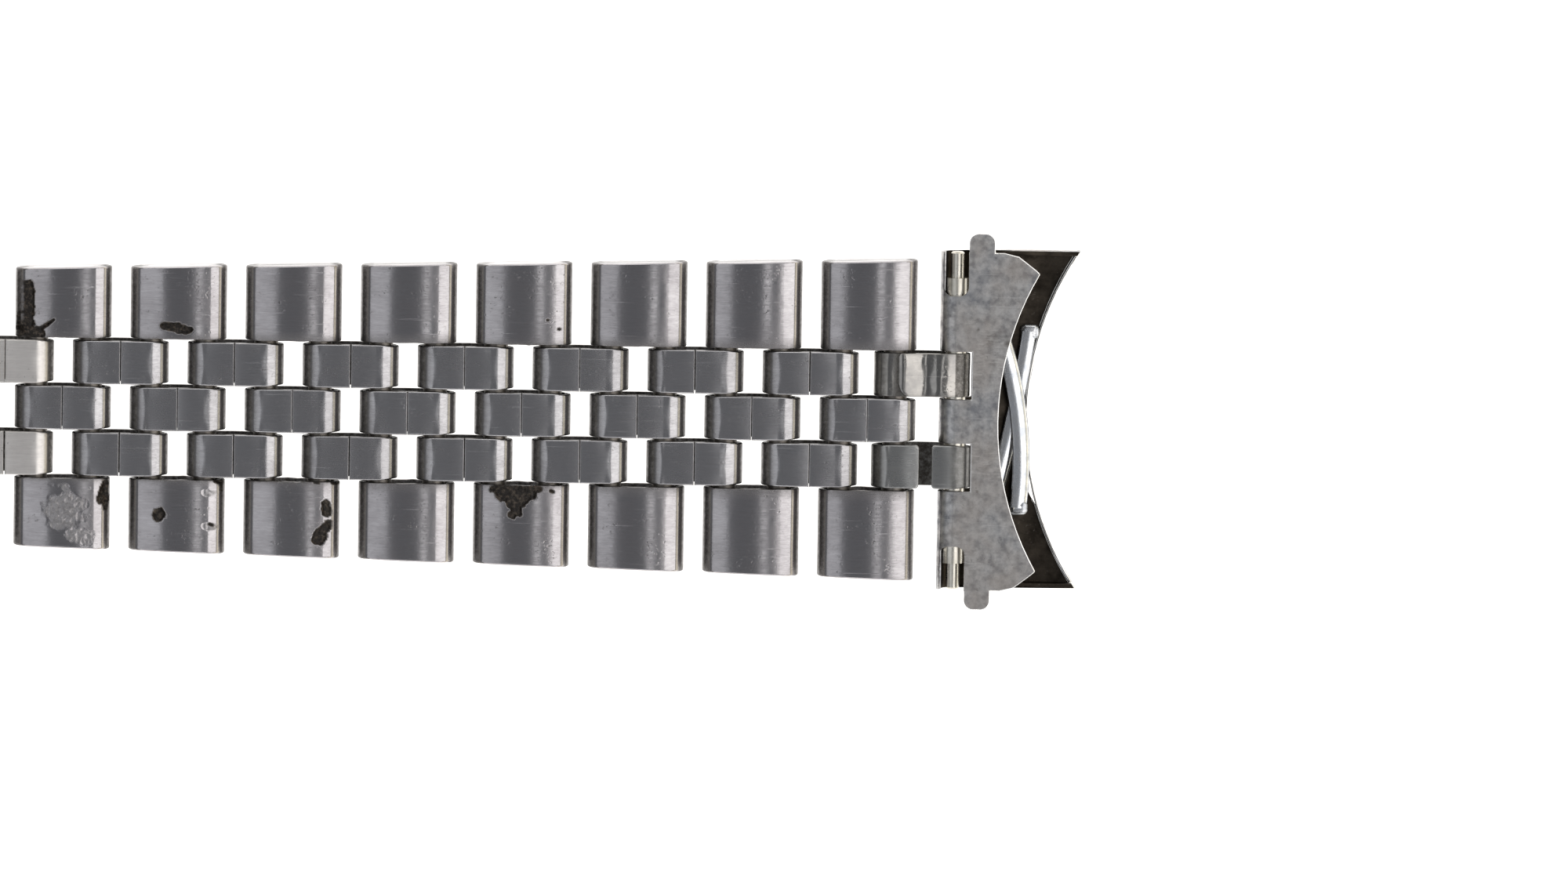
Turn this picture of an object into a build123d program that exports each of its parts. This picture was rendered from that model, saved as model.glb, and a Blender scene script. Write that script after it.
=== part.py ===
from build123d import *
import os
from math import acos, asin, cos, degrees, radians, sin, sqrt

os.makedirs("parts", exist_ok=True)

# The strap lies along X with the case end at +X, its dial side down and its wrist side up.
# The origin is the middle of the spring bar. All sizes are in millimetres.

# Rows. An outer row is two wide outer links and a centre link on two pins, and an inner row is
# two narrow links that turn on the pins of the outer rows beside them.
row_count = 9
inner_pin_spacing = 3.58
outer_pin_spacing = 3.20
pitch = inner_pin_spacing + outer_pin_spacing

# Sheet and pins
link_sheet = 0.32
pin_radius = 0.70
pin_chamfer = 0.12
hinge_clearance = 0.03
pin_seat_clearance = 0.01

# Links
narrow_width = 2.57
column_gap = 0.15
outer_width_first = 5.25
outer_width_taper = 0.157
outer_row_overhang = 1.24
dial_curve_radius = 6.20
wrist_curve_radius = 26.0
outer_edge_round = 0.14
seam_gap = 0.05
pin_end_gap = 0.05

# The two connectors between the first outer row and the spring bar
open_seam_gap = 0.76
open_seam_shift = 0.06
open_link_stretch = 0.30
strap_sheet = 0.15
strap_link_stretch = 0.38
flap_root = 1.20
flap_lift = 0.03
flap_overlap = 0.20
flap_corner_round = 0.80

# Spring bar
bar_radius = 0.65
bar_length = 16.90
bar_wall = 0.15
bar_lip = 0.25
tip_radius = 0.40
tip_clearance = 0.02
tip_travel = 1.00
tip_head_length = 1.20
tip_chamfer = 0.10
coil_wire_radius = 0.10
coil_turns = 20
coil_side_clearance = 0.04

# End piece, one folded sheet
lug_width = 20.0
case_radius = 18.05
rim_depth = 4.27
end_sheet = 0.28
bar_seat_clearance = 0.05
skin_radius = 14.0
skin_fall_degrees = 25.0
side_wall_edge = -1.00
side_round = 0.24
rim_sheet = 0.16
rim_height = 0.45
slot_width = 2.84
slot_depth = 0.93
notch_front = 0.65
notch_rear = -0.80
notch_length = 2.58
notch_floor = 0.20
notch_round = 0.50
plate_depth = 2.53
plate_side_depth = 2.75
plate_shoulder_depth = 3.60
plate_shoulder_inset = 0.20
plate_corner_depth = 4.86
plate_corner_inset = 1.20
plate_corner_blunt = 0.18
ear_place = 1.44
ear_width = 1.53
ear_reach = 11.13
ear_round = 0.55
window_half_length = 5.15
window_width = 0.75

# Front leaves, two curved strips that cross behind the rim
leaf_width = 0.42
leaf_sheet = 0.25
leaf_seat_gap = 0.01
leaf_cross_gap = 0.04
leaf_foot_place = 3.78
leaf_foot_side = 4.90
leaf_bow_place = 3.86
leaf_bow_side = 2.30
leaf_tail_place = 3.00
leaf_tail_side = 4.30
foot_width = 0.95
foot_length = 0.80
foot_round = 0.18

# Clasp end: the clasp's pin is thinner than the pins of the rows
clasp_pin_radius = 0.50
clasp_hole_clearance = 0.02

# How far cuts run past the metal
overrun = 1.0

# Radii and places that follow from the sizes above
inner_link_radius = pin_radius + hinge_clearance + link_sheet
outer_row_radius = pin_radius + pin_seat_clearance + link_sheet
outer_row_half = outer_pin_spacing / 2 + outer_row_overhang - outer_row_radius
roll_outer = bar_radius + bar_seat_clearance + end_sheet
roll_inner = roll_outer - end_sheet
column_pitch = narrow_width + column_gap
outer_inside = column_pitch + narrow_width / 2 + column_gap
end_half_width = lug_width / 2
case_centre = rim_depth + case_radius


def inner_row_centre(row):
    """Where the middle of an inner row lies along the strap."""
    return -inner_pin_spacing / 2 - (row - 1) * pitch


def outer_row_centre(row):
    """Where the middle of an outer row lies along the strap."""
    return -inner_pin_spacing - outer_pin_spacing / 2 - (row - 1) * pitch


def outer_width(row):
    """The outer links get narrower towards the clasp."""
    return outer_width_first - outer_width_taper * (row - 1)


def flank(x, y):
    """A plane square to the pins: its X runs along the strap and its Y up to the wrist side."""
    return Plane((x, y, 0), x_dir=(1, 0, 0), z_dir=(0, -1, 0))


def curved_side(left, right, radius_left, radius_right, curve_radius, side):
    """Three points of a link's long side, an arc that leaves both end circles smoothly."""
    reach_left = curve_radius - radius_left
    reach_right = curve_radius - radius_right
    span = right - left
    along = (reach_left**2 - reach_right**2 + span**2) / (2 * span)
    centre_x = left + along
    centre_y = -side * sqrt(reach_left**2 - along**2)
    first = (
        left + radius_left * (left - centre_x) / reach_left,
        -radius_left * centre_y / reach_left,
    )
    last = (
        right + radius_right * (right - centre_x) / reach_right,
        -radius_right * centre_y / reach_right,
    )
    middle = (centre_x, centre_y + side * curve_radius)
    return first, middle, last


def flat_side(left, right, radius_left, radius_right):
    """The two ends of a flat wrist side that touches both end circles."""
    lean = asin((radius_left - radius_right) / (right - left))
    first = (left + radius_left * sin(lean), radius_left * cos(lean))
    last = (right + radius_right * sin(lean), radius_right * cos(lean))
    return first, last


def loop_face(left, right, radius_left, radius_right, flat, inset):
    """A link's outline seen along the pins, drawn inset from its outer surface."""
    small_left, small_right = radius_left - inset, radius_right - inset
    dial = curved_side(left, right, small_left, small_right, dial_curve_radius - inset, -1)
    with BuildSketch() as outline:
        with BuildLine():
            if flat:
                top_left, top_right = flat_side(left, right, small_left, small_right)
                Line(top_left, top_right)
            else:
                wrist_curve = wrist_curve_radius - inset
                wrist = curved_side(left, right, small_left, small_right, wrist_curve, 1)
                top_left, top_right = wrist[0], wrist[2]
                ThreePointArc(*wrist)
            ThreePointArc(top_right, (right + small_right, 0), dial[2])
            ThreePointArc(dial[2], dial[1], dial[0])
            ThreePointArc(dial[0], (left - small_left, 0), top_left)
        make_face()
    return outline.sketch


def folded_strip(left, right, radius_left, radius_right, sheet):
    """The closed loop of a strip folded round two pins, seen along the pins."""
    ends = (left, right, radius_left, radius_right)
    with BuildSketch() as strip:
        add(loop_face(*ends, True, 0))
        add(loop_face(*ends, True, sheet), mode=Mode.SUBTRACT)
    return strip.sketch


def narrow_link(plane, half_length, radius):
    """A narrow link: a strip folded into a loop, its two ends meeting in a seam on the wrist side."""
    with BuildPart() as link:
        with BuildSketch(plane):
            add(folded_strip(-half_length, half_length, radius, radius, link_sheet))
            with Locations((0, radius)):
                Rectangle(seam_gap, 2 * link_sheet + seam_gap, mode=Mode.SUBTRACT)
        extrude(amount=narrow_width / 2, both=True)
    return link.part


def outer_link(row):
    """The wide link at the left of a row: a pressed shell, closed at its outer side."""
    width = outer_width(row)
    centre = outer_row_centre(row)
    ends = (-outer_row_half, outer_row_half, outer_row_radius, outer_row_radius)
    with BuildPart() as link:
        with BuildSketch(flank(centre, outer_inside + width)):
            add(loop_face(*ends, False, 0))
        extrude(amount=width)
        fillet(link.faces().sort_by(Axis.Y)[-1].edges(), outer_edge_round)
        with BuildSketch(flank(centre, outer_inside + width - link_sheet)):
            add(loop_face(*ends, False, link_sheet))
        extrude(amount=width, mode=Mode.SUBTRACT)
        if row == row_count:
            with BuildSketch(flank(centre, outer_inside + width + overrun)):
                with Locations((-outer_pin_spacing / 2, 0)):
                    Circle(clasp_pin_radius + clasp_hole_clearance)
            extrude(amount=link_sheet + 2 * overrun, mode=Mode.SUBTRACT)
    return link.part


def row_pins(row):
    """The pins of an outer row. The last row leaves its clasp-side hole open for the clasp."""
    half_length = outer_inside + outer_width(row) - link_sheet - pin_end_gap
    places = [(outer_pin_spacing / 2, 0)]
    if row < row_count:
        places.append((-outer_pin_spacing / 2, 0))
    with BuildPart() as pins:
        with BuildSketch(flank(outer_row_centre(row), 0)):
            with Locations(*places):
                Circle(pin_radius)
        extrude(amount=half_length, both=True)
        chamfer(pins.edges().filter_by(GeomType.CIRCLE), pin_chamfer)
    return pins.part


def keep(part, name):
    """Label a finished piece and write it to its own file."""
    part.label = name
    export_step(part, f"parts/{name}.step")


# Outer rows: left and right outer links, the centre link and the pins
for row in range(1, row_count + 1):
    left_link = outer_link(row)
    with BuildPart() as right_link:
        mirror(left_link, about=Plane.XZ)
    keep(left_link, f"outer_link_left_{row}")
    keep(right_link.part, f"outer_link_right_{row}")
    centre_plane = flank(outer_row_centre(row), 0)
    keep(narrow_link(centre_plane, outer_row_half, outer_row_radius), f"centre_link_{row}")
    keep(row_pins(row), f"row_pins_{row}")

# Inner rows two to nine
for row in range(2, row_count + 1):
    for side, column in ((1, "left"), (-1, "right")):
        link_plane = flank(inner_row_centre(row), side * column_pitch)
        link = narrow_link(link_plane, inner_pin_spacing / 2, inner_link_radius)
        keep(link, f"inner_link_{column}_{row}")

# First right connector: a folded link whose seam has opened and whose row end has stretched
open_bar_end = bar_radius + hinge_clearance + link_sheet
open_row_end = -inner_pin_spacing - open_link_stretch
with BuildPart() as open_link:
    with BuildSketch(flank(0, -column_pitch)):
        add(folded_strip(open_row_end, 0, inner_link_radius, open_bar_end, link_sheet))
        with Locations((-inner_pin_spacing / 2 + open_seam_shift, inner_link_radius)):
            Rectangle(open_seam_gap, 2 * link_sheet + seam_gap, mode=Mode.SUBTRACT)
    extrude(amount=narrow_width / 2, both=True)
keep(open_link.part, "inner_link_right_1")

# First left connector: a thin one-piece strap, closed by a flap that laps over its row end
strap_row_radius = pin_radius + hinge_clearance + strap_sheet
strap_bar_radius = bar_radius + hinge_clearance + strap_sheet
strap_row_end = -inner_pin_spacing - strap_link_stretch
strap_loop = (strap_row_end, 0, strap_row_radius, strap_bar_radius)
strap_top = flat_side(*strap_loop)
flap_slope = (strap_top[0][1] - strap_top[1][1]) / (strap_top[1][0] - strap_top[0][0])
flap_under = (-flap_root, strap_top[1][1] + flap_slope * (strap_top[1][0] + flap_root))
flap_tip = (-inner_pin_spacing + flap_overlap, strap_top[0][1] + flap_lift)
flap_top = flap_tip[1] + strap_sheet
with BuildPart() as strap_link:
    with BuildSketch(flank(0, column_pitch)):
        add(folded_strip(*strap_loop, strap_sheet))
    extrude(amount=narrow_width / 2, both=True)
    with BuildSketch(flank(0, column_pitch)):
        with BuildLine():
            Polyline(strap_top[1], flap_under, flap_tip, (flap_tip[0], flap_top))
            Polyline((flap_tip[0], flap_top), (-inner_pin_spacing / 2, flap_top), strap_top[1])
        make_face()
    extrude(amount=narrow_width / 2, both=True)
    tip_edges = strap_link.edges().filter_by(Axis.Z).sort_by(Axis.X)[:2]
    fillet(tip_edges.sort_by(Axis.Y)[0], flap_corner_round)
keep(strap_link.part, "inner_link_left_1")

# Spring bar tube, its ends rolled in round the tips
with BuildPart() as barrel:
    with BuildSketch(flank(0, 0)):
        Circle(bar_radius)
    extrude(amount=bar_length / 2, both=True)
    with BuildSketch(flank(0, 0)):
        Circle(bar_radius - bar_wall)
    extrude(amount=bar_length / 2 - bar_lip, both=True, mode=Mode.SUBTRACT)
    with BuildSketch(flank(0, 0)):
        Circle(tip_radius + tip_clearance)
    extrude(amount=bar_length / 2, both=True, mode=Mode.SUBTRACT)
keep(barrel.part, "spring_bar_tube")

# Spring bar tips, pressed in until their ends are flush with the sides of the end piece
head_radius = bar_radius - bar_wall - tip_clearance
head_outer = bar_length / 2 - bar_lip - tip_travel - hinge_clearance
head_inner = head_outer - tip_head_length
with BuildPart() as tip_left:
    with BuildSketch(flank(0, end_half_width)):
        Circle(tip_radius)
    extrude(amount=end_half_width - head_inner)
    with BuildSketch(flank(0, head_outer)):
        Circle(head_radius)
    extrude(amount=tip_head_length)
    chamfer(tip_left.edges().filter_by(GeomType.CIRCLE).sort_by(Axis.Y)[-1], tip_chamfer)
with BuildPart() as tip_right:
    mirror(tip_left.part, about=Plane.XZ)
keep(tip_left.part, "spring_bar_tip_left")
keep(tip_right.part, "spring_bar_tip_right")

# Coil spring between the two tip heads
coil_radius = head_radius - coil_wire_radius - coil_side_clearance
coil_length = 2 * (head_inner - coil_wire_radius - hinge_clearance)
with BuildPart() as coil:
    with BuildLine():
        turns = Helix(
            coil_length / coil_turns,
            coil_length,
            coil_radius,
            center=(0, -coil_length / 2, 0),
            direction=(0, 1, 0),
        )
    with BuildSketch(Plane(turns @ 0, z_dir=turns % 0)):
        Circle(coil_wire_radius)
    sweep(path=turns, is_frenet=True)
keep(coil.part, "spring_bar_coil")

# End piece. Seen from the side, the sheet runs from the underside plate round the rear roll and
# along the dial-side skin, which leaves the roll smoothly.
fall = radians(skin_fall_degrees)
skin_centre = ((skin_radius - roll_outer) * sin(fall), (skin_radius - roll_outer) * cos(fall))
tip_place = case_centre - sqrt(case_radius**2 - end_half_width**2)
roll_end_degrees = 270 - skin_fall_degrees
skin_end_degrees = 360 - degrees(acos((tip_place + rim_sheet - skin_centre[0]) / skin_radius))


def skin_height(x, inset):
    """The height of the skin's surface, inset from its dial side, at a place along the strap."""
    return skin_centre[1] - sqrt((skin_radius - inset) ** 2 - (x - skin_centre[0]) ** 2)


def skin_band(rear, front, top):
    """The part of the end piece's side view that lies between its dial side and a height."""
    depth = top - skin_height(skin_centre[0], 0)
    with BuildSketch() as band:
        with Locations(skin_centre):
            Circle(skin_radius)
        with Locations(((rear + front) / 2, top - depth / 2)):
            Rectangle(front - rear, depth, mode=Mode.INTERSECT)
    return band.sketch


# The rim along the case is a low wall that follows the case's edge
rim_top = skin_height(rim_depth, end_sheet) + rim_height
with BuildPart() as rim_wall:
    with BuildSketch(flank(0, 0)):
        add(skin_band(rim_depth - rim_sheet, tip_place, rim_top))
    extrude(amount=end_half_width, both=True)
    with BuildSketch(Plane.XY.offset(-skin_radius)):
        with Locations((case_centre, 0)):
            Circle(case_radius + rim_sheet)
    extrude(amount=2 * skin_radius, mode=Mode.INTERSECT)

# The underside plate, with its two ears
corner = (plate_corner_depth, end_half_width - plate_corner_inset)
blunt = (corner[0] - plate_corner_blunt, corner[1] + plate_corner_blunt)
shoulder = (plate_shoulder_depth, end_half_width - plate_shoulder_inset)
with BuildPart() as plate:
    with BuildSketch(Plane.XY.offset(roll_inner)) as plate_shape:
        with BuildLine():
            Polyline((0, 0), (0, end_half_width), (plate_side_depth, end_half_width))
            Polyline((plate_side_depth, end_half_width), shoulder, blunt, corner)
            mirror(about=Plane.XZ)
            ThreePointArc(corner, (plate_depth, 0), (corner[0], -corner[1]))
        make_face()
        with Locations((ear_place, 0)):
            Rectangle(ear_width, 2 * ear_reach)
        ear_tips = plate_shape.vertices().group_by(Axis.Y)
        fillet(ear_tips[0] + ear_tips[-1], ear_round)
    extrude(amount=end_sheet)

skin_sweep = skin_end_degrees - roll_end_degrees
window_radius = case_radius + rim_sheet
window_end = (case_centre - sqrt(window_radius**2 - window_half_length**2), window_half_length)
window_front = (rim_depth - rim_sheet, 0)
window_rear = (rim_depth - rim_sheet - window_width, 0)
slot_rear = -roll_outer - overrun
slot_middle = (slot_rear + slot_depth) / 2
notch_side = end_half_width - notch_length
with BuildPart() as skin:
    with BuildSketch(flank(0, 0)):
        with BuildLine():
            skin_out = CenterArc(skin_centre, skin_radius, roll_end_degrees, skin_sweep)
            skin_in = CenterArc(skin_centre, skin_radius - end_sheet, roll_end_degrees, skin_sweep)
            Line(skin_out @ 0, skin_in @ 0)
            Line(skin_out @ 1, skin_in @ 1)
        make_face()
    extrude(amount=end_half_width, both=True)
    outer_edges = skin.edges().filter_by(GeomType.CIRCLE).sort_by(SortBy.LENGTH)[-2:]
    fillet(outer_edges, side_round)
with BuildPart() as side_walls:
    for wall_side in (end_half_width, -end_half_width + end_sheet):
        with BuildSketch(flank(0, wall_side)):
            add(skin_band(0, tip_place, side_wall_edge))
        extrude(amount=end_sheet)
    for wall_edge in (
        side_walls.edges().filter_by(GeomType.CIRCLE).sort_by(Axis.Y)[0],
        side_walls.edges().filter_by(GeomType.CIRCLE).sort_by(Axis.Y)[-1],
    ):
        fillet(wall_edge, side_round)
with BuildPart() as end_piece:
    with BuildSketch(flank(0, 0)):
        with BuildLine():
            roll_out = CenterArc((0, 0), roll_outer, 90, roll_end_degrees - 90)
            roll_in = CenterArc((0, 0), roll_inner, 90, roll_end_degrees - 90)
            Line(roll_out @ 0, roll_in @ 0)
            Line(roll_out @ 1, roll_in @ 1)
        make_face()
    extrude(amount=end_half_width, both=True)
    add(skin.part)
    add(side_walls.part)
    add(rim_wall.part)
    with BuildSketch(Plane.XY.offset(-skin_radius)):
        with Locations((case_centre, 0)):
            Circle(case_radius)
    extrude(amount=2 * skin_radius, mode=Mode.SUBTRACT)
    add(plate.part)
    with BuildSketch(Plane.XY.offset(-skin_radius)):
        with Locations((slot_middle, -column_pitch), (slot_middle, column_pitch)):
            Rectangle(slot_depth - slot_rear, slot_width)
        with BuildLine():
            ThreePointArc(window_end, window_front, (window_end[0], -window_end[1]))
            ThreePointArc(window_end, window_rear, (window_end[0], -window_end[1]))
        make_face()
    extrude(amount=2 * skin_radius, mode=Mode.SUBTRACT)
    with BuildSketch(Plane.XY.offset(notch_floor)) as notches:
        with Locations(((notch_rear + notch_front) / 2, 0)):
            Rectangle(notch_front - notch_rear, 2 * (ear_reach + overrun))
            Rectangle(notch_front - notch_rear, 2 * notch_side, mode=Mode.SUBTRACT)
        inner_corners = notches.vertices().filter_by(lambda corner: abs(corner.Y) < end_half_width)
        fillet(inner_corners, notch_round)
    extrude(amount=roll_outer, mode=Mode.SUBTRACT)
keep(end_piece.part, "end_piece")

# Front leaves: each has a foot on the skin and a tail under the plate, and one crosses the other
foot_floor = skin_height(leaf_foot_place - foot_width / 2, end_sheet) + leaf_seat_gap
leaf_floor = skin_height(leaf_tail_place - leaf_width, end_sheet) + leaf_seat_gap
leaf_levels = (leaf_floor, leaf_floor + leaf_sheet + leaf_cross_gap)
with BuildPart() as leaves:
    for level, side in zip(leaf_levels, (-1, 1)):
        foot = (leaf_foot_place, side * leaf_foot_side)
        with BuildSketch(Plane.XY.offset(level)):
            with BuildLine():
                bow = (leaf_bow_place, side * leaf_bow_side)
                ThreePointArc(foot, bow, (leaf_tail_place, -side * leaf_tail_side))
            trace(line_width=leaf_width)
        extrude(amount=leaf_sheet)
        with BuildSketch(Plane.XY.offset(foot_floor)):
            with Locations(foot):
                RectangleRounded(foot_width, foot_length, foot_round)
        extrude(amount=level + leaf_sheet - foot_floor)
keep(leaves.part, "front_leaves")
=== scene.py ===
import math
import random

import bmesh
import bpy
from mathutils import Matrix, Vector, noise
from mathutils.bvhtree import BVHTree


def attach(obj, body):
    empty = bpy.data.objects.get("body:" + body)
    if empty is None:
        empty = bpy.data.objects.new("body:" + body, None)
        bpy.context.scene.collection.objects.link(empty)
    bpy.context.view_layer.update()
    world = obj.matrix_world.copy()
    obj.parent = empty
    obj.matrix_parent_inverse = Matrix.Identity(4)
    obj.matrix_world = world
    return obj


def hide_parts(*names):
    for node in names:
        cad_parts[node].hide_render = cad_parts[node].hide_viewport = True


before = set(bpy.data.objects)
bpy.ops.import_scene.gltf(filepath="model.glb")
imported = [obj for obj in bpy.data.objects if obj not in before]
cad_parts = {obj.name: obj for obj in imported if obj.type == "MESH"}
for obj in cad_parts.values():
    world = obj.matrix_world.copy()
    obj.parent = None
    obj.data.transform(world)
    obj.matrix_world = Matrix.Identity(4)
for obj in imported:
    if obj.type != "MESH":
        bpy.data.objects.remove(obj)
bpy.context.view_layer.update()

# Outer links. Each is a shell pressed from one steel sheet, closed at the strap's edge and open
# towards the middle, where it is pushed over its two pins. The wrist side is satin, brushed along
# the strap, and sweat has eaten pits into some of them. All sizes here are in millimetres.
mm = 0.001
row_count = 9
inner_spacing = 3.58
outer_spacing = 3.20
row_pitch = inner_spacing + outer_spacing
sheet = 0.32
outer_end_radius = 1.03
outer_end_reach = 1.24
outer_half = outer_spacing / 2 + outer_end_reach - outer_end_radius
outer_inside = 4.155
outer_width_first = 5.25
outer_taper = 0.157
outer_wrist_curve = 15.0
dial_curve = 6.20
outer_edge_round = 0.12
edge_slope = 0.030
lip_round = 0.07
lip_bulge = 0.3 * lip_round
lip_wander = 0.035
lip_wander_reach = 0.25
lip_shade_and_dirt_reach = 0.16
cavity_depth = 0.60
clasp_hole_place = -outer_spacing / 2
clasp_hole_radius = 0.52
clasp_cavity_depth = 0.42
pit_depth = 0.13
pit_grain = 0.05
etch_depth = 0.030
fine_step = 0.05
# How many stations the wrist side, the case end, the dial side and the clasp end have
clean_stations = (18, 14, 14, 14)
eaten_stations = (72, 30, 14, 14)
clean_runs = 8
# Painted shade and dirt at a link's two ends: how dark, and where it begins and is full, from the
# middle
outer_case_shade_and_dirt = (0.92, 2.50, 2.66)
outer_clasp_shade_and_dirt = (0.88, 2.22, 2.56)

# Pits, by row: blobs from one place (along, across) to another with a radius at each end, measured
# from the link's middle and from its open side
left_pits = {
    8: (
        (-2.03, 3.10, -2.05, 0.40, 0.33, 0.38),
        (-2.35, 0.42, -1.35, 0.25, 0.34, 0.30),
        (-1.30, 0.50, -0.52, 1.08, 0.13, 0.05),
        (-2.62, 0.50, -2.60, 1.45, 0.13, 0.06),
    ),
    7: ((-0.80, 0.80, -0.05, 0.78, 0.20, 0.27), (0.15, 0.62, 0.72, 0.60, 0.27, 0.20)),
    4: ((1.42, 1.48, 1.44, 1.48, 0.05, 0.05), (2.10, 0.95, 2.12, 0.95, 0.05, 0.05)),
}
right_pits = {
    8: (
        (2.55, 0.30, 2.45, 1.20, 0.16, 0.30),
        (2.58, 1.30, 2.60, 1.75, 0.18, 0.08),
    ),
    7: (
        (-0.98, 2.05, -1.02, 2.12, 0.36, 0.34),
        (1.98, 2.55, 2.18, 2.62, 0.05, 0.05),
        (2.30, 0.04, 2.66, 0.16, 0.08, 0.10),
        (2.62, 0.30, 2.64, 0.62, 0.05, 0.04),
    ),
    6: (
        (2.10, 1.35, 2.12, 1.75, 0.27, 0.28),
        (2.18, 2.45, 1.92, 2.85, 0.22, 0.30),
        (1.80, 3.05, 1.64, 3.36, 0.38, 0.38),
        (2.45, 0.02, 2.78, 0.06, 0.09, 0.08),
        (1.40, 0.03, 1.62, 0.05, 0.05, 0.04),
    ),
    4: (
        (-1.70, 0.22, 1.05, 0.22, 0.18, 0.18),
        (-1.10, 0.55, 0.60, 0.50, 0.42, 0.30),
        (-0.50, 0.95, 0.10, 0.90, 0.42, 0.35),
        (-0.30, 1.35, -0.15, 1.62, 0.34, 0.24),
        (-0.60, 1.72, -0.45, 1.78, 0.18, 0.20),
        (1.75, 0.30, 1.90, 0.36, 0.07, 0.05),
    ),
}
# Rough patches of the right side, where the satin is eaten but not pitted: middle, half length
# and half width
right_etches = {
    8: ((0.20, 1.90, 1.35, 1.45), (1.00, 3.40, 1.00, 0.50)),
    7: ((2.00, 0.75, 0.45, 0.28), (2.00, 2.72, 0.48, 0.26)),
}


def shader_node(tree, kind, inputs=None, **settings):
    """Adds a node, with its settings and its inputs given as numbers, colours or sockets."""
    made = tree.nodes.new(kind)
    for name, value in settings.items():
        setattr(made, name, value)
    for name, value in (inputs or {}).items():
        if isinstance(value, bpy.types.NodeSocket):
            tree.links.new(value, made.inputs[name])
        else:
            made.inputs[name].default_value = value
    return made


def grain(tree, stretch, detail=3.0, roughness=0.55, turn=0.0):
    """Noise over the piece's own place, stretched along the strap, across it and up."""
    place = shader_node(tree, "ShaderNodeTexCoord").outputs["Object"]
    mapped = shader_node(
        tree,
        "ShaderNodeMapping",
        {"Vector": place, "Scale": stretch, "Rotation": (0, 0, turn)},
    )
    return shader_node(
        tree,
        "ShaderNodeTexNoise",
        {"Vector": mapped.outputs[0], "Scale": 1.0, "Detail": detail, "Roughness": roughness},
    ).outputs["Fac"]


def spread(tree, value, low, high, new_low=0.0, new_high=1.0):
    """Stretches the middle of a grain to a wider range, and cuts off the rest."""
    return shader_node(
        tree,
        "ShaderNodeMapRange",
        {"Value": value, "From Min": low, "From Max": high, "To Min": new_low, "To Max": new_high},
    ).outputs["Result"]


def times(tree, first, second):
    """The product of two values."""
    inputs = {0: first, 1: second}
    return shader_node(tree, "ShaderNodeMath", inputs, operation="MULTIPLY").outputs[0]


def plus(tree, first, second):
    """The sum of two values."""
    return shader_node(tree, "ShaderNodeMath", {0: first, 1: second}, operation="ADD").outputs[0]


def greater(tree, first, second):
    """The greater of two values."""
    inputs = {0: first, 1: second}
    return shader_node(tree, "ShaderNodeMath", inputs, operation="MAXIMUM").outputs[0]


def tint(tree, share, first, second):
    """Mixes two colours by a share. Each is a socket, or its red, green and blue."""
    first, second = (
        (*colour, 1) if isinstance(colour, tuple) else colour for colour in (first, second)
    )
    inputs = {"Factor": share, 6: first, 7: second}
    return shader_node(tree, "ShaderNodeMix", inputs, data_type="RGBA").outputs[2]


# What wear adds to the steel, and the dark brown of dirt with painted shade: its colours, and how
# high or deep it stands
scuff_warm, scuff_cool = (0.48, 0.42, 0.37), (0.28, 0.30, 0.34)
scratch_pale, scratch_deep = (0.80, 0.79, 0.76), (0.15, 0.15, 0.15)
smudge_colour = (0.10, 0.085, 0.07)
fleck_colour = (0.16, 0.145, 0.13)
etched_colour = (0.27, 0.26, 0.26)
dirt_and_shade_colour = (0.040, 0.034, 0.027)
scab_dark, scab_light = (0.010, 0.007, 0.005), (0.085, 0.066, 0.050)
fine_wear_height = 0.012 * mm
scab_height = 0.06 * mm


def scuffed(tree, colour, strength):
    """Adds warm and cool clouds, and pale and deep scratches along the strap."""
    cloud = grain(tree, (330, 260, 330), 3.0, 0.6)
    colour = tint(tree, spread(tree, cloud, 0.45, 0.65, 0.0, 0.40), colour, scuff_warm)
    colour = tint(tree, spread(tree, cloud, 0.48, 0.34, 0.0, 0.35), colour, scuff_cool)
    area = spread(tree, grain(tree, (230, 230, 230), 2.0, 0.6), 0.56, 0.68)
    scratch = grain(tree, (1500, 9500, 1500), 2.0, 0.5, 0.12)
    pale = times(tree, area, spread(tree, scratch, 0.57, 0.68))
    deep = times(tree, area, spread(tree, scratch, 0.43, 0.32))
    colour = tint(tree, times(tree, pale, strength), colour, scratch_pale)
    return tint(tree, times(tree, deep, strength), colour, scratch_deep)


def smudged(tree, colour, stain, smudges):
    """Adds dark smudges with ragged edges, each with its place, its reach and its depth."""
    for x, y, z, reach, depth in smudges:
        place = shader_node(tree, "ShaderNodeTexCoord").outputs["Object"]
        inputs = {0: place, 1: (x * mm, y * mm, z * mm)}
        far = shader_node(tree, "ShaderNodeVectorMath", inputs, operation="DISTANCE")
        far = plus(tree, far.outputs["Value"], times(tree, stain, 1.6 * reach * mm))
        near = spread(tree, far, 1.8 * reach * mm, 0.8 * reach * mm, 0.0, depth)
        colour = tint(tree, near, colour, smudge_colour)
    return colour


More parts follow.
